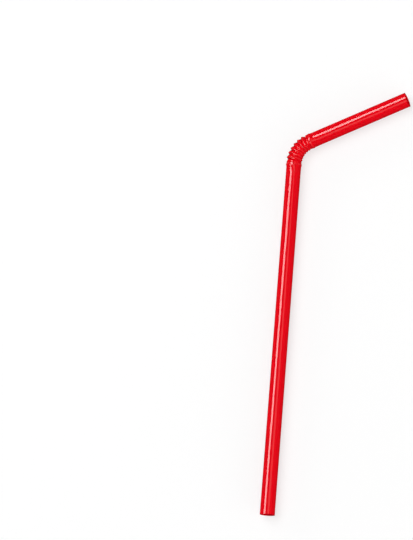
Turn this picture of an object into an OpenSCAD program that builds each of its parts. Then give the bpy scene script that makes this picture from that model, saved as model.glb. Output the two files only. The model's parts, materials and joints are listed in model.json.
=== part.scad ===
// Flexible drinking straw, bent at its folds and lying flat. Sizes in millimetres.
// The long leg runs along +Y from its cut foot, the folds turn the straw towards +X and the short
// leg ends at the mouth. The straw's plane is level, its crests touch z = 0 and the origin is
// below the middle of the bounding box.

/* [Tube] */
// outside diameter of both plain legs
tube_d = 6; // [4:0.1:8]
// wall thickness of both plain legs
wall = 0.25; // [0.15:0.01:0.4]
// long leg, from its cut foot to the plane of the first crest
long_leg = 144.3; // [60:0.1:220]
// short leg, from the plane of the last crest to the cut mouth
short_leg = 43.8; // [12:0.1:80]

/* [Folds] */
// number of crests
crest_count = 8; // [6:1:14]
// angle between the axes of the two legs
bend_angle = 66.5; // [15:0.5:85]
// how far the crests stand out from the legs
crest_rise = 0.25; // [0.15:0.01:0.5]
// how far the valleys lie below the legs, on the open side of the bend
valley_drop = 0.45; // [0.3:0.01:0.6]
// length along the straw of the side of a fold that falls from its crest towards the mouth
long_side = 1.4; // [1.2:0.05:2]
// length along the straw of the side of a fold that rises to its crest
short_side = 0.7; // [0.6:0.05:1]
// radius on the outside of a crest
crest_round = 0.25; // [0.15:0.01:0.3]
// wall thickness in the folds and the bands
flex_wall = 0.2; // [0.12:0.01:0.25]
// how far the first and the last crest stand out, which are lower than the others
end_rise = 0.1; // [0:0.01:0.2]

/* [Bands beside the folds] */
// how far the band at the end of each leg stands out
band_rise = 0.2; // [0.1:0.01:0.25]
// length of the band's flat top
band_length = 0.5; // [0.2:0.05:1]
// from the plane of the nearest crest to the middle of the band
band_gap = 1; // [0.8:0.05:1.5]
// length along the straw of the band's side that falls towards the folds
band_side = 0.45; // [0.35:0.05:0.6]
// length along the straw of the band's side that falls to the leg
shoulder = 0.35; // [0.3:0.05:1]
// radius on the outside of the band's edges
band_round = 0.2; // [0.1:0.01:0.25]

/* [Colour] */
// glossy red plastic
straw_colour = "#E10A1C";

/* [Hidden] */
round_steps = 96;
crest_steps = 4; // straight steps in the round of a crest and in each edge of a band
lap = 0.12;      // how far the sides of a fold run on past the valley, so that neighbours cross
past = 1;        // how far the bore runs out past each cut end

tube_r = tube_d / 2;
bore_r = tube_r - wall;
crest_r = tube_r + crest_rise;
valley_r = tube_r - valley_drop;
end_crest_r = tube_r + end_rise;
band_r = tube_r + band_rise;

// The plane of each crest passes through the centre of the bend. On the outside of the bend the
// crests are a whole fold apart, and on the inside the folds close up.
link_turn = bend_angle / (crest_count - 1);
bend_r = (long_side + short_side) / (link_turn * PI / 180) - crest_r;

// An outline is a list of points [radius, place along the axis]. A crest or a band is given as
// top = [radius over it, radius of its round].

// Slope from the axis of a side that touches the round and comes down to the radius foot_r at the
// distance run.
function slope(top, run, foot_r) =
    let (drop = top[0] - top[1] - foot_r)
    atan2(drop, run) + asin(top[1] / norm([run, drop]));

// Radius of that side at the distance z, moved inwards by inset.
function side_r(top, s, inset, z) = top[0] - top[1] + (top[1] - inset) / cos(s) - z * tan(s);

// Part of the round, from the slope from to the slope to, about the place z.
function arc(top, from, to, z) =
    [for (i = [0 : crest_steps]) let (a = from + i * (to - from) / crest_steps)
        [top[0] - top[1] + top[1] * cos(a), z + top[1] * sin(a)]];

// The corner inside the wall, where the two sides of a crest meet when both are moved inwards.
function corner(top, up, down, inset) =
    let (z = (top[1] - inset) * (1 / cos(down) - 1 / cos(up)) / (tan(up) + tan(down)))
    [[side_r(top, down, inset, z), z]];

// How far past the edge of a band its side meets its flat top when both are moved inwards.
function inner_edge(top, s, inset) = (top[1] - inset) * (1 / cos(s) - 1) / tan(s);

// Outline of one crest with both its sides, about the crest's plane. It is the outside where inset
// is 0 and else the inside of the wall.
function crest_outline(is_end, inset) =
    let (top = [is_end ? end_crest_r : crest_r, crest_round],
         up = slope(top, short_side, valley_r), down = slope(top, long_side, valley_r),
         low = short_side + lap, high = long_side + lap)
    concat(
        [[0, -low], [side_r(top, up, inset, low), -low]],
        inset > 0 ? corner(top, up, down, inset) : arc(top, -up, down, 0),
        [[side_r(top, down, inset, high), high], [0, high]]);

// Outline of a leg with its band, from the plane of the nearest crest outwards.
function leg_outline(length, inset) =
    let (top = [band_r, band_round],
         up = slope(top, band_side, valley_r), down = slope(top, shoulder, tube_r),
         near = band_gap - band_length / 2, far = band_gap + band_length / 2,
         low = near - band_side - lap,
         leg_r = inset > 0 ? bore_r : tube_r,
         end = inset > 0 ? length + past : length)
    concat(
        [[0, low], [side_r(top, up, inset, near - low), low]],
        inset > 0
            ? [[band_r - inset, near - inner_edge(top, up, inset)],
               [band_r - inset, far + inner_edge(top, down, inset)]]
            : concat(arc(top, -up, 0, near), arc(top, 0, down, far)),
        [[leg_r, far + shoulder], [leg_r, end], [0, end]]);

// The middle of the bounding box. The mouth is the farthest point in +X and +Y, and the band of
// the long leg or the second crest is the farthest in -X.
mouth_x = bend_r * (1 - cos(bend_angle)) + short_leg * sin(bend_angle);
mouth_y = long_leg + bend_r * sin(bend_angle) + short_leg * cos(bend_angle);
second_crest_x = (bend_r + crest_r - crest_round) * cos(link_turn) + crest_round - bend_r;
mid_x = (mouth_x + tube_r * cos(bend_angle) - max(band_r, second_crest_x)) / 2;
mid_y = (mouth_y + tube_r * sin(bend_angle)) / 2;

// Puts what is drawn along +Z, with the plane of crest i at z = 0, in its place round the bend.
module place(i) {
    translate([bend_r - mid_x, long_leg - mid_y, crest_r])
        rotate([0, 0, -i * link_turn])
            translate([-bend_r, 0, 0])
                rotate([-90, 0, 0]) children();
}

module turned(points) {
    rotate_extrude($fn = round_steps) polygon(points);
}

// Both legs and all crests together, as solid bodies that cross their neighbours.
module body(inset) {
    place(0) mirror([0, 0, 1]) turned(leg_outline(long_leg, inset));
    for (i = [0 : crest_count - 1])
        place(i) turned(crest_outline(i == 0 || i == crest_count - 1, inset));
    place(crest_count - 1) turned(leg_outline(short_leg, inset));
}

// One tube: the outside of the body less its inside.
module straw() {
    color(straw_colour)
    difference() {
        body(0);
        body(flex_wall);
    }
}

straw();
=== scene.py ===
# %% [markdown]
# # A flexible drinking straw
#
# The object is one thin tube of red polypropylene, 6 mm across. It is plain on both legs. Between
# them the wall is folded into a short bellows, which lets the straw bend and keeps it bent, and a
# low band ends each leg beside the folds.
#
# It has no second piece, so the whole lesson is about one surface: how to make a wall that is
# folded by a rule, and how to give a thin glossy plastic its finish. The straw lies flat on a pale
# floor, because a tube can't stand by itself, and the camera looks down on it.

# %% Load the solid that the looks are built around
import json
import math
import bpy
from mathutils import Matrix
from mathutils import Vector


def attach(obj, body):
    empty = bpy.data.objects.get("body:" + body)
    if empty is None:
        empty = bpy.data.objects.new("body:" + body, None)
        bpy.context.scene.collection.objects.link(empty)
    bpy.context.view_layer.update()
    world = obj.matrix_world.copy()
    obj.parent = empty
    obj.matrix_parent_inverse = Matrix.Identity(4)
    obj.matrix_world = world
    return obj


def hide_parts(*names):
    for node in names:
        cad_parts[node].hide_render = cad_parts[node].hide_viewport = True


MM = 0.001
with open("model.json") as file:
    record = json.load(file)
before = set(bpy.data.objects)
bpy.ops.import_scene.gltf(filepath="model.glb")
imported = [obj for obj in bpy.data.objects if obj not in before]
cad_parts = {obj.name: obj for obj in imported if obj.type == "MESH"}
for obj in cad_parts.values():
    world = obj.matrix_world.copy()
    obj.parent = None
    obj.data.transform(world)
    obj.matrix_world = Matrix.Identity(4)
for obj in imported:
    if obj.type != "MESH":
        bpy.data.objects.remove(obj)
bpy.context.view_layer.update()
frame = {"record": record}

# %% [markdown]
# ## Sizes
#
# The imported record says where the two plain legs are: each is a mount, with its middle, its
# direction, its radius and its length. The places of the folds follow from these, so the wall made
# here lies on the solid's. Only what the record doesn't hold is written again: the sizes of the
# folds and of the bands. All sizes are in millimetres, and the tree's last step turns them into
# metres.

# %% Read the legs from the record
mounts = {mount["name"]: mount for mount in frame["record"]["mounts"]}
long_leg_mount = mounts["long_leg"]
mouth_mount = mounts["mouth_end"]
long_plain = long_leg_mount["dims"]["length_mm"]
short_plain = mouth_mount["dims"]["length_mm"]
tube_r = long_leg_mount["dims"]["r_mm"]
bore_r = mounts["foot_bore"]["dims"]["r_mm"]
bend_angle = math.atan2(mouth_mount["axis"][0], mouth_mount["axis"][1])
print("tube radius", tube_r, "bore radius", bore_r, "bend", round(math.degrees(bend_angle), 2))

# %% The folds
crest_count = 8
crest_rise = 0.25   # how far the crests stand out from the legs
valley_drop = 0.45  # how far the open valleys lie below the legs
long_side = 1.4     # length along the straw of a fold's side towards the mouth
short_side = 0.7    # length along the straw of its side towards the foot
crest_round = 0.25  # radius of a crest
end_rise = 0.1      # how far the first and the last crest stand out, which are lower
flex_wall = 0.2     # the wall's thickness in the folds and the bands

fold_turn = bend_angle / (crest_count - 1)
bend_r = (long_side + short_side) / fold_turn - (tube_r + crest_rise)
print("bend radius", round(bend_r, 3), "each fold turns", round(math.degrees(fold_turn), 2))

# %% The bands and the places of both legs
band_rise = 0.2     # how far a band stands out from its leg
band_length = 0.5   # length of its flat top
band_gap = 1.0      # from the nearest crest to the middle of the band
band_round = 0.2    # radius of its edges
band_side = 0.45    # length of its side towards the folds
shoulder = 0.35     # length of its side towards the leg

end_of_leg = band_gap + band_length / 2 + shoulder
long_leg = long_plain + end_of_leg
short_leg = short_plain + end_of_leg
foot_x, leg_middle_y, axis_height = [place / MM for place in long_leg_mount["pos_m"]]
first_crest_y = leg_middle_y - long_plain / 2 + long_leg
middle_of_bend = (foot_x + bend_r, first_crest_y, axis_height)
print("middle of the bend at", [round(place, 3) for place in middle_of_bend])

# %% [markdown]
# ## Two helpers
#
# Both the surface and its finish are trees of nodes. One function adds a node, with its settings
# and what goes into it, and gives back one of its outputs, so that a tree reads like the sum it
# works out. The other turns a colour as it is written in a paint program into the linear values
# that the shader counts in.

# %% Helpers
MATH = "ShaderNodeMath"
VECTOR_MATH = "ShaderNodeVectorMath"


def add(tree, kind, *values, out=0, inputs=None, **settings):
    """Adds a node, fills its inputs in their order or by name, and returns one of its outputs."""
    node = tree.nodes.new(kind)
    for name, value in settings.items():
        setattr(node, name, value)
    filled = list(zip(node.inputs, values))
    filled += [(node.inputs[name], value) for name, value in (inputs or {}).items()]
    for socket, value in filled:
        if isinstance(value, bpy.types.NodeSocket):
            tree.links.new(value, socket)
        elif value is not None:
            socket.default_value = value
    return node.outputs[out]


def linear(hex_colour):
    """An sRGB colour such as #E10A1C as linear RGBA."""
    parts = [int(hex_colour[i:i + 2], 16) / 255 for i in (1, 3, 5)]
    return [c / 12.92 if c <= 0.04045 else ((c + 0.055) / 1.055) ** 2.4 for c in parts] + [1.0]


print("red as linear values:", [round(c, 4) for c in linear("#E10A1C")])

# %% [markdown]
# ## The outline of one fold
#
# A bellows like this is pressed into the tube by rollers. Each fold has a rounded crest and two
# sides. The side towards the foot is short and steep, the side towards the mouth is longer, and the
# next fold's short side meets it in the valley.
#
# The rule is therefore: near its crest the wall is rounded, and away from it each side runs on as a
# cone that touches that round. The first group works out how steep such a side is. That is the
# slope of the line from the middle of the round to the side's foot, plus the lean by which a line
# that touches the round differs from one through its middle.
#
# The second group gives the radius of one fold at any distance from its crest. The inside of the
# wall is the same outline moved inwards by the wall's thickness, the inset, so its round is smaller
# by that much. Both groups could be a table of numbers, but then no size could be changed.


# %% Group: how steep a side is
def new_group(name, inputs, output):
    """A group with named numbers going in and one result coming out."""
    group = bpy.data.node_groups.new(name, "GeometryNodeTree")
    for socket in inputs:
        group.interface.new_socket(socket, in_out="INPUT", socket_type="NodeSocketFloat")
    group.interface.new_socket(output, in_out="OUTPUT", socket_type="NodeSocketFloat")
    given = group.nodes.new("NodeGroupInput").outputs
    result = group.nodes.new("NodeGroupOutput").inputs
    return group, given, result


slope_group, given, result = new_group(
    "Slope of a side", ["Crest radius", "Round", "Run", "Foot radius"], "Slope")
drop = add(slope_group, MATH, given["Crest radius"], given["Round"], operation="SUBTRACT")
drop = add(slope_group, MATH, drop, given["Foot radius"], operation="SUBTRACT")
run_squared = add(slope_group, MATH, given["Run"], given["Run"], operation="MULTIPLY")
squares = add(slope_group, MATH, drop, drop, run_squared, operation="MULTIPLY_ADD")
reach = add(slope_group, MATH, squares, operation="SQRT")
lean = add(slope_group, MATH, given["Round"], reach, operation="DIVIDE")
lean = add(slope_group, MATH, lean, operation="ARCSINE")
straight = add(slope_group, MATH, drop, given["Run"], operation="ARCTAN2")
slope = add(slope_group, MATH, straight, lean, operation="ADD")
slope_group.links.new(slope, result["Slope"])
print("group:", slope_group.name, len(slope_group.nodes), "nodes")

# %% Group: where the round of a fold ends
fold_group, given, result = new_group(
    "Radius of a fold", ["Distance", "Inset", "Crest radius", "Round", "Rise", "Fall"], "Radius")
centre = add(fold_group, MATH, given["Crest radius"], given["Round"], operation="SUBTRACT")
round_left = add(fold_group, MATH, given["Round"], given["Inset"], operation="SUBTRACT")
round_left = add(fold_group, MATH, round_left, 0.0, operation="MAXIMUM")
rise_touch = add(fold_group, MATH, given["Rise"], operation="SINE")
rise_touch = add(fold_group, MATH, rise_touch, round_left, operation="MULTIPLY")
rise_touch = add(fold_group, MATH, rise_touch, -1.0, operation="MULTIPLY")
fall_touch = add(fold_group, MATH, given["Fall"], operation="SINE")
fall_touch = add(fold_group, MATH, fall_touch, round_left, operation="MULTIPLY")
on_round = add(fold_group, "ShaderNodeClamp", given["Distance"], rise_touch, fall_touch)
print("nodes so far:", len(fold_group.nodes))

# %% Group: radius of a fold at a distance from its crest
round_squared = add(fold_group, MATH, round_left, round_left, operation="MULTIPLY")
across = add(fold_group, MATH, on_round, on_round, operation="MULTIPLY")
height = add(fold_group, MATH, round_squared, across, operation="SUBTRACT")
height = add(fold_group, MATH, height, 0.0, operation="MAXIMUM")
height = add(fold_group, MATH, height, operation="SQRT")
before = add(fold_group, MATH, on_round, given["Distance"], operation="SUBTRACT")
before = add(fold_group, MATH, before, 0.0, operation="MAXIMUM")
after = add(fold_group, MATH, given["Distance"], on_round, operation="SUBTRACT")
after = add(fold_group, MATH, after, 0.0, operation="MAXIMUM")
rise = add(fold_group, MATH, given["Rise"], operation="TANGENT")
fall = add(fold_group, MATH, given["Fall"], operation="TANGENT")
radius = add(fold_group, MATH, centre, height, operation="ADD")
lost = add(fold_group, MATH, before, rise, operation="MULTIPLY")
radius = add(fold_group, MATH, radius, lost, operation="SUBTRACT")
lost = add(fold_group, MATH, after, fall, operation="MULTIPLY")
radius = add(fold_group, MATH, radius, lost, operation="SUBTRACT")
fold_group.links.new(radius, result["Radius"])
print("group:", fold_group.name, len(fold_group.nodes), "nodes")

# %% [markdown]
# ## The whole wall as one sheet
#
# The legs and the folds could be made one by one and then welded, which leaves seams inside the
# wall. Here it is one sheet from the start: a flat grid that is rolled up. Each row of the grid
# becomes a ring. The rows run along the outside from the foot to the mouth, over the cut edge, and
# back along the inside to the foot, so the sheet closes on itself and the wall has its real
# thickness.
#
# A ring's place along the straw is its station. Below 0 it lies on the long leg, past the last
# crest on the short leg, and between them it is turned about the middle of the bend. The rings are
# close together in the folds and far apart on the legs, where nothing changes.

# %% Tree: the sizes it takes
RINGS_PER_FOLD = 32
RINGS_LONG_LEG = 48
RINGS_SHORT_LEG = 20
SIDES = 96
valley_round = 0.04  # how softly two folds meet in an open valley
closed_round = 0.5   # and on the inside of the bend, where they close up

sizes = {
    "Tube radius": tube_r,
    "Bore radius": bore_r,
    "Long leg": long_leg,
    "Short leg": short_leg,
    "Bend angle": bend_angle,
    "Bend radius": bend_r,
    "Crest radius": tube_r + crest_rise,
    "End crest radius": tube_r + end_rise,
    "Valley radius": tube_r - valley_drop,
    "Long side": long_side,
    "Short side": short_side,
    "Crest round": crest_round,
    "Valley round": valley_round,
    "Closed round": closed_round,
    "Fold wall": flex_wall,
    "Band radius": tube_r + band_rise,
    "Band length": band_length,
    "Band gap": band_gap,
    "Band round": band_round,
    "Band side": band_side,
    "Shoulder": shoulder,
}
counts = {
    "Crests": crest_count,
    "Rings per fold": RINGS_PER_FOLD,
    "Rings on the long leg": RINGS_LONG_LEG,
    "Rings on the short leg": RINGS_SHORT_LEG,
    "Sides": SIDES,
}
print("sizes:", len(sizes), "counts:", len(counts))

# %% Tree: its inputs and its output
straw_tree = bpy.data.node_groups.new("Bendable straw", "GeometryNodeTree")
sockets = [(name, "INPUT", "NodeSocketFloat") for name in sizes]
sockets += [(name, "INPUT", "NodeSocketInt") for name in counts]
sockets += [("Middle of the bend", "INPUT", "NodeSocketVector")]
sockets += [("Plastic", "INPUT", "NodeSocketMaterial")]
sockets += [("Straw", "OUTPUT", "NodeSocketGeometry")]
for name, way, socket_type in sockets:
    straw_tree.interface.new_socket(name, in_out=way, socket_type=socket_type)
size = straw_tree.nodes.new("NodeGroupInput").outputs
finished = straw_tree.nodes.new("NodeGroupOutput").inputs
print("sockets of the tree:", len(sockets))

# %% Tree: the grid
links_less_one = add(straw_tree, MATH, size["Crests"], 1.0, operation="SUBTRACT")
turn_per_fold = add(straw_tree, MATH, size["Bend angle"], links_less_one, operation="DIVIDE")
pitch = add(straw_tree, MATH, turn_per_fold, size["Bend radius"], operation="MULTIPLY")
fold_zone = add(straw_tree, MATH, size["Crests"], 1.0, operation="ADD")
fold_rings = add(straw_tree, MATH, fold_zone, size["Rings per fold"], operation="MULTIPLY")
bend_end = add(straw_tree, MATH, size["Rings on the long leg"], fold_rings, operation="ADD")
last_ring = add(straw_tree, MATH, bend_end, size["Rings on the short leg"], operation="ADD")
# Rings are counted from 0, and there is one of each number outside and one inside.
all_rows = add(straw_tree, MATH, last_ring, 2.0, 2.0, operation="MULTIPLY_ADD")
row_points = add(straw_tree, MATH, all_rows, 1.0, operation="ADD")
side_points = add(straw_tree, MATH, size["Sides"], 1.0, operation="ADD")
sheet = add(straw_tree, "GeometryNodeMeshGrid", all_rows, size["Sides"], row_points, side_points)
print("nodes so far:", len(straw_tree.nodes))

# %% Tree: the number of each ring, and on which side of the wall it lies
flat_place = add(straw_tree, "GeometryNodeInputPosition")
flat_x = add(straw_tree, "ShaderNodeSeparateXYZ", flat_place)
flat_y = flat_x.node.outputs["Y"]
row = add(straw_tree, MATH, all_rows, 0.5, flat_x, operation="MULTIPLY_ADD")
row = add(straw_tree, MATH, row, operation="ROUND")
# The last row takes the place of the first one, so that the sheet closes at the foot.
row = add(straw_tree, MATH, row, all_rows, operation="FLOORED_MODULO")
inside = add(straw_tree, MATH, row, last_ring, operation="GREATER_THAN")
way_back = add(straw_tree, MATH, all_rows, 1.0, operation="SUBTRACT")
way_back = add(straw_tree, MATH, way_back, row, operation="SUBTRACT")
ring = add(straw_tree, MATH, row, way_back, operation="MINIMUM")
print("nodes so far:", len(straw_tree.nodes))

# %% Tree: the station of each ring
MAP_RANGE = "ShaderNodeMapRange"
rings_on_long = size["Rings on the long leg"]
span = add(straw_tree, MATH, size["Long leg"], pitch, operation="SUBTRACT")
station = add(straw_tree, MAP_RANGE, ring, 0.0, rings_on_long, 0.0, span)
station = add(straw_tree, MATH, station, size["Long leg"], operation="SUBTRACT")
span = add(straw_tree, MATH, fold_zone, pitch, operation="MULTIPLY")
stretch = add(straw_tree, MAP_RANGE, ring, rings_on_long, bend_end, 0.0, span)
station = add(straw_tree, MATH, station, stretch, operation="ADD")
span = add(straw_tree, MATH, size["Short leg"], pitch, operation="SUBTRACT")
stretch = add(straw_tree, MAP_RANGE, ring, bend_end, last_ring, 0.0, span)
station = add(straw_tree, MATH, station, stretch, operation="ADD")

turn = add(straw_tree, MATH, station, size["Bend radius"], operation="DIVIDE")
turn = add(straw_tree, "ShaderNodeClamp", turn, 0.0, size["Bend angle"])
on_leg = add(straw_tree, MATH, turn, size["Bend radius"], operation="MULTIPLY")
on_leg = add(straw_tree, MATH, station, on_leg, operation="SUBTRACT")
print("nodes so far:", len(straw_tree.nodes))

# %% Tree: the direction round the tube
round_angle = add(straw_tree, MATH, flat_y, size["Sides"], operation="DIVIDE")
round_angle = add(straw_tree, MATH, round_angle, 2 * math.pi, operation="MULTIPLY")
outwards = add(straw_tree, MATH, round_angle, operation="COSINE")
upwards = add(straw_tree, MATH, round_angle, operation="SINE")
lever = add(straw_tree, MATH, size["Tube radius"], outwards, size["Bend radius"],
            operation="MULTIPLY_ADD")
print("nodes so far:", len(straw_tree.nodes))

# %% [markdown]
# ## The legs and their bands
#
# Where a plain leg meets the folds, the rollers leave a low band with a flat top. Its outline is
# that of a fold with a flat piece put in at the crest. The distance from the flat piece takes the
# place of the distance from a crest, so the group for a fold serves for the band as well, and no
# second outline has to be drawn.
#
# Where the straw has no leg or no band, its radius is made 0. The wall takes the largest radius in
# each place, so a 0 counts for nothing.

# %% Tree: the plain wall
JUST_OFF_THE_BEND = 0.0001  # every point of the bend lies at 0 on either leg
inset = add(straw_tree, MATH, inside, size["Fold wall"], operation="MULTIPLY")
out_on_leg = add(straw_tree, MATH, on_leg, operation="ABSOLUTE")
off_bend = add(straw_tree, MATH, out_on_leg, JUST_OFF_THE_BEND, operation="GREATER_THAN")
past_band = add(straw_tree, MATH, out_on_leg, size["Band gap"], operation="GREATER_THAN")
plain_r = add(straw_tree, "GeometryNodeSwitch", inside, size["Tube radius"], size["Bore radius"],
              input_type="FLOAT")
leg_r = add(straw_tree, MATH, plain_r, past_band, operation="MULTIPLY")
print("nodes so far:", len(straw_tree.nodes))

# %% Tree: the band at the end of a leg
GROUP = "GeometryNodeGroup"
from_band = add(straw_tree, MATH, out_on_leg, size["Band gap"], operation="SUBTRACT")
half_band = add(straw_tree, MATH, size["Band length"], 0.5, operation="MULTIPLY")
other_half = add(straw_tree, MATH, size["Band length"], -0.5, operation="MULTIPLY")
on_band = add(straw_tree, "ShaderNodeClamp", from_band, other_half, half_band)
from_band = add(straw_tree, MATH, from_band, on_band, operation="SUBTRACT")
to_folds = add(straw_tree, GROUP, size["Band radius"], size["Band round"], size["Band side"],
               size["Valley radius"], node_tree=slope_group)
to_leg = add(straw_tree, GROUP, size["Band radius"], size["Band round"], size["Shoulder"],
             size["Tube radius"], node_tree=slope_group)
band_r = add(straw_tree, GROUP, from_band, inset, size["Band radius"], size["Band round"],
             to_folds, to_leg, node_tree=fold_group)
band_r = add(straw_tree, MATH, band_r, off_bend, operation="MULTIPLY")
leg_r = add(straw_tree, MATH, leg_r, band_r, size["Valley round"], operation="SMOOTH_MAX")
print("nodes so far:", len(straw_tree.nodes))

# %% [markdown]
# ## The folds, one after another
#
# A repeat zone goes through the folds one by one and keeps the largest radius, which is what
# joining them means. Copies of one modelled fold could be set round the bend instead, but each
# would have to be cut to fit its neighbours.
#
# On the outside of the bend the folds are a full pitch apart. On the inside they are closer, so
# their sides meet higher up and the valleys are shallow. On the real straw the wall bulges there
# and that edge looks nearly smooth. So the largest radius is taken softly, with a round that grows
# towards the inside of the bend. There the wall stands up to 0.13 mm proud of the solid's.

# %% Tree: how softly neighbours meet
# Across the bend, 1 is its outermost line and -1 its innermost.
CLOSING_FROM = 0.2
CLOSED_AT = -0.8
meeting_round = add(straw_tree, MAP_RANGE, outwards, CLOSING_FROM, CLOSED_AT,
                    size["Valley round"], size["Closed round"])
print("nodes so far:", len(straw_tree.nodes))

# %% Tree: the repeat zone, and the distance of a point from one crest's plane
repeat_in = straw_tree.nodes.new("GeometryNodeRepeatInput")
repeat_out = straw_tree.nodes.new("GeometryNodeRepeatOutput")
repeat_in.pair_with_output(repeat_out)
repeat_out.repeat_items.clear()
repeat_out.repeat_items.new("FLOAT", "Radius")
straw_tree.links.new(size["Crests"], repeat_in.inputs["Iterations"])
straw_tree.links.new(leg_r, repeat_in.inputs["Radius"])
crest_number = repeat_in.outputs["Iteration"]

from_crest = add(straw_tree, MATH, crest_number, turn_per_fold, operation="MULTIPLY")
from_crest = add(straw_tree, MATH, turn, from_crest, operation="SUBTRACT")
along = add(straw_tree, MATH, from_crest, operation="SINE")
along = add(straw_tree, MATH, along, lever, operation="MULTIPLY")
level = add(straw_tree, MATH, from_crest, operation="COSINE")
distance = add(straw_tree, MATH, level, on_leg, along, operation="MULTIPLY_ADD")
print("nodes so far:", len(straw_tree.nodes))

# %% Tree: one fold, and the largest radius so far
is_first = add(straw_tree, MATH, crest_number, 0.0, 0.5, operation="COMPARE")
is_last = add(straw_tree, MATH, crest_number, links_less_one, 0.5, operation="COMPARE")
is_end = add(straw_tree, MATH, is_first, is_last, operation="MAXIMUM")
top = add(straw_tree, "GeometryNodeSwitch", is_end, size["Crest radius"],
          size["End crest radius"], input_type="FLOAT")
rise = add(straw_tree, GROUP, top, size["Crest round"], size["Short side"],
           size["Valley radius"], node_tree=slope_group)
fall = add(straw_tree, GROUP, top, size["Crest round"], size["Long side"],
           size["Valley radius"], node_tree=slope_group)
fold_r = add(straw_tree, GROUP, distance, inset, top, size["Crest round"], rise, fall,
             node_tree=fold_group)
joined = add(straw_tree, MATH, repeat_in.outputs["Radius"], fold_r, meeting_round,
             operation="SMOOTH_MAX")
straw_tree.links.new(joined, repeat_out.inputs["Radius"])
radius = repeat_out.outputs["Radius"]
print("nodes so far:", len(straw_tree.nodes))

# %% [markdown]
# ## From the radius to the finished mesh
#
# Each point now has its station, its direction round the tube and its radius. It is put beside the
# middle of the bend, turned and moved to its place. Two things are stored on the way for the
# finish, because they can't be told from the bent mesh: "straight" is where the point would be if
# the straw weren't bent, and "relief" is how far it stands out from the plain wall.

# %% Tree: the place of each point
out_along = add(straw_tree, MATH, radius, outwards, size["Bend radius"], operation="MULTIPLY_ADD")
out_along = add(straw_tree, MATH, out_along, -1.0, operation="MULTIPLY")
up_along = add(straw_tree, MATH, radius, upwards, operation="MULTIPLY")
beside = add(straw_tree, "ShaderNodeCombineXYZ", out_along, on_leg, up_along)
turned = add(straw_tree, MATH, turn, -1.0, operation="MULTIPLY")
place = add(straw_tree, "ShaderNodeVectorRotate", beside, None, None, turned,
            rotation_type="Z_AXIS")
place = add(straw_tree, VECTOR_MATH, place, size["Middle of the bend"], operation="ADD")
place = add(straw_tree, VECTOR_MATH, place, (MM, MM, MM), operation="MULTIPLY")
print("nodes so far:", len(straw_tree.nodes))

# %% Tree: what the finish needs to know
relief = add(straw_tree, MATH, radius, plain_r, operation="SUBTRACT")
straight_x = add(straw_tree, MATH, outwards, size["Tube radius"], operation="MULTIPLY")
straight_y = add(straw_tree, MATH, upwards, size["Tube radius"], operation="MULTIPLY")
straight_place = add(straw_tree, "ShaderNodeCombineXYZ", straight_x, straight_y, station)
sheet = add(straw_tree, "GeometryNodeStoreNamedAttribute", sheet, None, "straight", straight_place,
            data_type="FLOAT_VECTOR", domain="POINT")
sheet = add(straw_tree, "GeometryNodeStoreNamedAttribute", sheet, None, "relief", relief,
            data_type="FLOAT", domain="POINT")
print("nodes so far:", len(straw_tree.nodes))

# %% Tree: roll the sheet up, close it and give it its plastic
CUT_EDGE = math.radians(60)  # an edge that turns more than this stays sharp, as at a cut end
WELD = 0.001 * MM            # points as close as this become one, along the sheet's seams
sheet = add(straw_tree, "GeometryNodeSetPosition", sheet, None, place)
sheet = add(straw_tree, "GeometryNodeMergeByDistance", sheet, inputs={"Distance": WELD})
sheet = add(straw_tree, "GeometryNodeFlipFaces", sheet)
sheet = add(straw_tree, "GeometryNodeRealizeInstances", sheet)
sheet = add(straw_tree, "GeometryNodeSetShadeSmooth", sheet, None, True, domain="FACE")
edge_angle = add(straw_tree, "GeometryNodeInputMeshEdgeAngle")
is_cut = add(straw_tree, MATH, edge_angle, CUT_EDGE, operation="GREATER_THAN")
sheet = add(straw_tree, "GeometryNodeSetShadeSmooth", sheet, is_cut, False, domain="EDGE")
sheet = add(straw_tree, "GeometryNodeSetMaterial", sheet, None, size["Plastic"])
straw_tree.links.new(sheet, finished["Straw"])
print("nodes in the tree:", len(straw_tree.nodes))

# %% [markdown]
# ## The plastic
#
# The straw is polypropylene, coloured through with a red pigment and drawn from a ring-shaped die.
# It is glossy, and the die leaves very fine lines along the tube, which change its red and its
# gloss a little. They have to follow the bend, so the pattern reads "straight".
#
# In the folds the colour changes too. The crests are a little paler, partly because the plastic is
# stretched thin there and partly as a painted highlight. The valleys are much deeper in colour,
# which is painted shade where little light gets in. A picture could be painted for this, but it
# would fit only one set of sizes, so the colour follows "relief".

# %% The plastic's numbers
POLYPROPYLENE_IOR = 1.49
RED_THIN = linear("#F20417")   # where the die left the wall a trace thinner
RED_THICK = linear("#EC0013")  # and where it left it thicker
# Painted shade: the valleys are drawn a much darker red, where little light gets in.
PAINTED_VALLEY_SHADE = linear("#780006")
# Partly the paler stretched plastic of a crest, and partly a painted highlight along it.
PALE_CREST_AND_HIGHLIGHT = linear("#F0242C")
# The real lines are too fine for the picture. These are as coarse as they need to be to show.
LINE_SPACING = 0.3
LINE_LENGTH = 80.0
LINE_DEPTH = 0.0002
LINE_COLOURS = (0.35, 0.65)  # the noise goes from thick to thin between these
LINE_GLOSS = (0.3, 0.7)      # and from the first roughness to the second between these
ROUGHNESS = (0.06, 0.12)
# The relief where the painted valley shade starts and where it is full, then the same for a crest.
VALLEY_SHADE_RANGE = (-0.4 * valley_drop, -0.9 * valley_drop)  # relief where its red starts and is full
CREST_PALE_AND_HIGHLIGHT_RANGE = (0.1, crest_rise)                          # and the same for a crest
print("lines", LINE_SPACING, "mm apart, roughness", ROUGHNESS)


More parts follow.
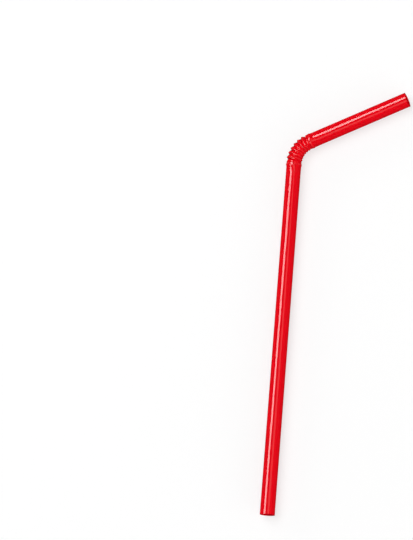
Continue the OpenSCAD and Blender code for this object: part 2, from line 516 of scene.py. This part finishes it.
# %% Material: glossy red polypropylene
def glossy_red_polypropylene():
    """Extruded, pigmented polypropylene (PP). Glossy, saturated, faintly lined along the tube."""
    plastic = bpy.data.materials.new("glossy_red_polypropylene")
    plastic.use_nodes = True
    tree = plastic.node_tree
    shader = tree.nodes["Principled BSDF"].inputs
    shader["IOR"].default_value = POLYPROPYLENE_IOR

    place = add(tree, "ShaderNodeAttribute", out="Vector", attribute_name="straight")
    squeeze = (1 / LINE_SPACING, 1 / LINE_SPACING, 1 / LINE_LENGTH)
    place = add(tree, VECTOR_MATH, place, squeeze, operation="MULTIPLY")
    lines = add(tree, "ShaderNodeTexNoise", inputs={"Vector": place, "Scale": 1.0, "Detail": 2.0})
    colour = add(tree, "ShaderNodeValToRGB", lines)
    stops = colour.node.color_ramp.elements
    for stop, position, red in zip(stops, LINE_COLOURS, (RED_THICK, RED_THIN)):
        stop.position = position
        stop.color = red

    relief = add(tree, "ShaderNodeAttribute", out="Fac", attribute_name="relief")
    # Painted shade in the valleys: the deeper the relief, the darker the red.
    valley_shade = add(tree, MAP_RANGE, relief, *VALLEY_SHADE_RANGE, 0.0, 1.0)
    colour = add(tree, "ShaderNodeMixRGB", valley_shade, colour, PAINTED_VALLEY_SHADE)
    # The crest colour: partly paler stretched plastic, and partly a painted highlight.
    pale_crest_and_highlight = add(tree, MAP_RANGE, relief, *CREST_PALE_AND_HIGHLIGHT_RANGE, 0.0, 1.0)
    colour = add(tree, "ShaderNodeMixRGB", pale_crest_and_highlight, colour, PALE_CREST_AND_HIGHLIGHT)
    tree.links.new(colour, shader["Base Color"])

    roughness = add(tree, MAP_RANGE, lines, *LINE_GLOSS, *ROUGHNESS)
    tree.links.new(roughness, shader["Roughness"])
    grooves = {"Strength": 1.0, "Distance": LINE_DEPTH * MM, "Height": lines}
    tree.links.new(add(tree, "ShaderNodeBump", inputs=grooves), shader["Normal"])
    return plastic


red_plastic = glossy_red_polypropylene()
print("material:", red_plastic.name)

# %% [markdown]
# ## The straw itself
#
# The tree runs as a modifier on an empty mesh. Its inputs are set by the identifiers that the tree
# gave them. The result is then copied into a plain mesh, so that what is exported needs no
# modifier. The mesh stands for the solid "straw", and rides on the only body there is.

# %% Run the tree
values = {**sizes, **counts, "Middle of the bend": middle_of_bend, "Plastic": red_plastic}
identifiers = {item.name: item.identifier for item in straw_tree.interface.items_tree
               if item.in_out == "INPUT"}
maker = bpy.data.objects.new("straw_maker", bpy.data.meshes.new("straw_maker"))
bpy.context.scene.collection.objects.link(maker)
modifier = maker.modifiers.new("Bendable straw", "NODES")
modifier.node_group = straw_tree
for name, value in values.items():
    modifier[identifiers[name]] = value
bpy.context.view_layer.update()
seen = maker.evaluated_get(bpy.context.evaluated_depsgraph_get())
straw_mesh = bpy.data.meshes.new_from_object(seen)
straw_mesh.name = "flexible_straw"
bpy.data.objects.remove(maker)
print("mesh:", straw_mesh.name, len(straw_mesh.vertices), "points")

# %% Put the straw in the scene
straw = bpy.data.objects.new("flexible_straw", straw_mesh)
bpy.context.scene.collection.objects.link(straw)
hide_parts("straw")
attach(straw, "root")
straw_mesh.calc_loop_triangles()
print("straw:", len(straw_mesh.loop_triangles), "triangles")

# %% [markdown]
# ## The camera
#
# A long lens far away, as for a catalogue picture, so both legs keep the same width. The straw lies
# flat, so the camera looks down on it, leaning a little towards the foot and the mouth, which shows
# both cut ends open. Its numbers were fitted, so that both ends and the bend lie where the
# photograph has them.

# %% Camera
IMAGE_HEIGHT = 540
FOCAL_PIXELS = 3200  # focal length, counted in pixels of the picture
SENSOR_HEIGHT = 24.0
CAMERA_AIM = Vector((-55.7, 12.7, 3.25)) * MM
CAMERA_DISTANCE = 1301 * MM
CAMERA_TILT = math.radians(22.5)
CAMERA_TOWARDS = math.radians(-32.5)
CAMERA_ROLL = math.radians(-4.65)

back = Vector((math.cos(CAMERA_TOWARDS), math.sin(CAMERA_TOWARDS), 0)) * math.sin(CAMERA_TILT)
back.z = math.cos(CAMERA_TILT)
up = Vector((0, 1, 0))
up = (up - back * up.dot(back)).normalized()
right = up.cross(back)
up = up * math.cos(CAMERA_ROLL) + right * math.sin(CAMERA_ROLL)
right = up.cross(back)
camera_axes = Matrix((right, up, back)).transposed().to_4x4()

lens = bpy.data.cameras.new("camera")
lens.sensor_fit = "VERTICAL"
lens.sensor_height = SENSOR_HEIGHT
lens.lens = SENSOR_HEIGHT * FOCAL_PIXELS / IMAGE_HEIGHT
lens.clip_end = 100
camera = bpy.data.objects.new("camera", lens)
camera.matrix_world = Matrix.Translation(CAMERA_AIM + back * CAMERA_DISTANCE) @ camera_axes
bpy.context.scene.collection.objects.link(camera)
bpy.context.scene.camera = camera
camera_place = [round(place, 3) for place in camera.matrix_world.translation]
print("camera at", camera_place, "lens", round(lens.lens, 1))

# %% [markdown]
# ## The floor
#
# The straw lies on seamless white paper. White paper would clip in the picture and lose the shadow,
# so the paper is grey to the lamps, and a glow that only the camera and reflections see makes it
# white again.

# %% Floor
FLOOR_SIZE = 6.0
FLOOR_LIFT = 0.67  # strength of the glow: what the lit grey lacks to white


def matt_paper():
    """A seamless paper sweep, matt. Grey, so it takes a soft shadow, and lifted to white."""
    paper = bpy.data.materials.new("matt_paper")
    paper.use_nodes = True
    tree = paper.node_tree
    shader = tree.nodes["Principled BSDF"].inputs
    shader["Base Color"].default_value = linear("#A0A0A0")
    shader["Roughness"].default_value = 0.9
    shader["Specular IOR Level"].default_value = 0.0
    shader["Emission Color"].default_value = linear("#FFFFFF")
    camera_ray = add(tree, "ShaderNodeLightPath", out="Is Camera Ray")
    ray = camera_ray.node.outputs
    seen_by = add(tree, MATH, camera_ray, ray["Is Glossy Ray"], operation="MAXIMUM")
    seen_by = add(tree, MATH, seen_by, ray["Is Transmission Ray"], operation="MAXIMUM")
    glow = add(tree, MATH, seen_by, FLOOR_LIFT, operation="MULTIPLY")
    tree.links.new(glow, shader["Emission Strength"])
    return paper


def stage_piece(name, corners, faces, material):
    """A piece of the studio, which isn't part of the object."""
    mesh = bpy.data.meshes.new(name)
    mesh.from_pydata(corners, [], faces)
    mesh.materials.append(material)
    piece = bpy.data.objects.new(name, mesh)
    bpy.context.scene.collection.objects.link(piece)
    return piece


half = FLOOR_SIZE / 2
floor_corners = [(-half, -half, 0), (half, -half, 0), (half, half, 0), (-half, half, 0)]
stage_piece("floor", floor_corners, [(0, 1, 2, 3)], matt_paper())
print("floor:", FLOOR_SIZE, "m square")

# %% [markdown]
# ## Black card
#
# What is white near a glossy tube makes its edges milky. A photographer therefore puts black card
# round such an object, just out of the picture. Here it is a low round wall with a bottom, and only
# reflections see it, so it can lie under the straw and takes no light away.

# %% Black card
CARD_RADIUS = 1.0
CARD_HEIGHT = 0.52
CARD_LIFT = 0.02 * MM
CARD_SIDES = 48


def black_card():
    """Black card, matt, which still sends back a little light."""
    card = bpy.data.materials.new("black_card")
    card.use_nodes = True
    shader = card.node_tree.nodes["Principled BSDF"].inputs
    shader["Base Color"].default_value = linear("#3C3C3C")
    shader["Roughness"].default_value = 1.0
    shader["Specular IOR Level"].default_value = 0.0
    return card


corners = []
for level in (CARD_LIFT, CARD_HEIGHT):
    for side in range(CARD_SIDES):
        angle = 2 * math.pi * side / CARD_SIDES
        corners.append((CARD_RADIUS * math.cos(angle), CARD_RADIUS * math.sin(angle), level))
faces = [tuple(range(CARD_SIDES))]
for side in range(CARD_SIDES):
    beside = (side + 1) % CARD_SIDES
    faces.append((side, side + CARD_SIDES, beside + CARD_SIDES, beside))
card = stage_piece("black_card", corners, faces, black_card())
card.visible_camera = False
card.visible_diffuse = False
card.visible_transmission = False
card.visible_shadow = False
print("black card:", len(faces), "faces")

# %% [markdown]
# ## Where a lamp has to stand
#
# On a glossy tube a lamp shows as a streak where the surface leans half way between the eye and the
# lamp. Lamps could be moved about by hand until the streaks are right. Here a lamp is placed by its
# streak instead: "across" is 0 on the middle of a leg, 1 on its left or upper edge and -1 on the
# other, and the lamp stands half way between the two places that would suit one leg each.
#
# The crests and the bands are round in the other direction too, so they also show a lamp that is
# turned far towards the foot, which the plain legs don't.

# %% Directions
long_axis = Vector((0, 1, 0))
short_axis = Vector((math.sin(bend_angle), math.cos(bend_angle), 0))


def towards_streak(leg, across):
    """The direction in which a lamp stands whose streak lies at "across" on this leg."""
    facing = (back - leg * back.dot(leg)).normalized()
    sideways = facing.cross(leg)
    normal = facing * math.sqrt(1 - across * across) + sideways * across
    return normal * 2 * normal.dot(back) - back


def over_both_legs(across):
    """Half way between the directions that give both legs a streak at the same place."""
    both = towards_streak(long_axis, across) + towards_streak(short_axis, across)
    return both.normalized()


def along_both_legs(towards):
    """Half way between the two legs' directions, square to the direction of a lamp."""
    along = long_axis + short_axis
    return (along - towards * along.dot(towards)).normalized()


def off_both_legs(across, turn):
    """The same as over both legs, but turned by this angle towards the foot."""
    towards = over_both_legs(across)
    return towards * math.cos(turn) - along_both_legs(towards) * math.sin(turn)


print("over both legs:", [round(part, 2) for part in over_both_legs(0.0)])

# %% [markdown]
# ## Lamps
#
# A photographer lights such an object with large soft boxes and draws the streaks with narrow ones.
# Here each job has lamps of its own. A streak lamp is seen only in reflections, and a soft lamp
# lights only what is matt. So the streaks can have the brightness that the real ones have, while
# the red and the floor stay as they are.


# %% A soft box
def softbox(name, towards, length, width, radiance, distance=1.2, streak=False):
    """A rectangular lamp that faces the bend, with its length half way between the two legs."""
    towards = towards.normalized()
    along = along_both_legs(towards)
    light = bpy.data.lights.new(name, "AREA")
    light.shape = "RECTANGLE"
    light.size = length
    light.size_y = width
    light.energy = radiance * math.pi * length * width
    lamp = bpy.data.objects.new(name, light)
    axes = Matrix((along, towards.cross(along), towards)).transposed().to_4x4()
    middle = Vector(middle_of_bend) * MM
    lamp.matrix_world = Matrix.Translation(middle + towards * distance) @ axes
    lamp.visible_glossy = streak
    lamp.visible_diffuse = not streak
    bpy.context.scene.collection.objects.link(lamp)
    print(name, "at", [round(place, 2) for place in lamp.location], round(light.energy, 2), "W")


# %% Streak lamps
MAIN_STREAK = 0.35
SECOND_STREAK = -0.13
CREST_STREAK = 0.14
TURNED_TO_FOOT = math.radians(56)
over_main = over_both_legs(MAIN_STREAK)
over_second = over_both_legs(SECOND_STREAK)
off_crests = off_both_legs(CREST_STREAK, TURNED_TO_FOOT)
softbox("key_streak", over_main, length=1.0, width=0.45, radiance=9.2, streak=True)
softbox("second_streak", over_second, length=1.8, width=0.6, radiance=0.9, distance=1.5,
        streak=True)
softbox("crest_streak", off_crests, length=1.2, width=1.1, radiance=5.2, streak=True)

# %% Soft lamps
# The key stands behind its streak lamp: two lamps in one plane would hide parts of each other.
OVERHEAD = Vector((0.6, -0.4, 1.0))
FROM_THE_RIGHT = Vector((0.84, -0.55, 0.2))
FROM_THE_LEFT = Vector((-0.84, 0.55, 0.2))
softbox("key", over_main, length=1.4, width=1.05, radiance=2.7, distance=1.4)
softbox("fill", OVERHEAD, length=3.0, width=3.0, radiance=0.75, distance=2.0)
softbox("right_side", FROM_THE_RIGHT, length=1.2, width=0.5, radiance=3.0, distance=1.6)
softbox("left_side", FROM_THE_LEFT, length=1.2, width=0.5, radiance=3.0, distance=1.6)

# %% [markdown]
# ## The world
#
# The world is white round the horizon, which is the background in low views, and nearly black
# overhead, so that the top of the tube shows nothing but the lamps.

# %% World
HORIZON_FADE = 0.30
HORIZON_TOP = 0.45
CEILING = 0.02
world = bpy.data.worlds.new("studio")
world.use_nodes = True
bpy.context.scene.world = world
tree = world.node_tree
sky = tree.nodes["Background"].inputs
direction = add(tree, "ShaderNodeTexCoord", out="Generated")
height = add(tree, "ShaderNodeSeparateXYZ", direction, out="Z")
level = add(tree, MAP_RANGE, height, HORIZON_FADE, HORIZON_TOP, 1.0, CEILING)
sky["Color"].default_value = linear("#FFFFFF")
tree.links.new(level, sky["Strength"])
bpy.context.scene.view_settings.view_transform = "Standard"
print("world: white up to", HORIZON_FADE, "and", CEILING, "above", HORIZON_TOP)
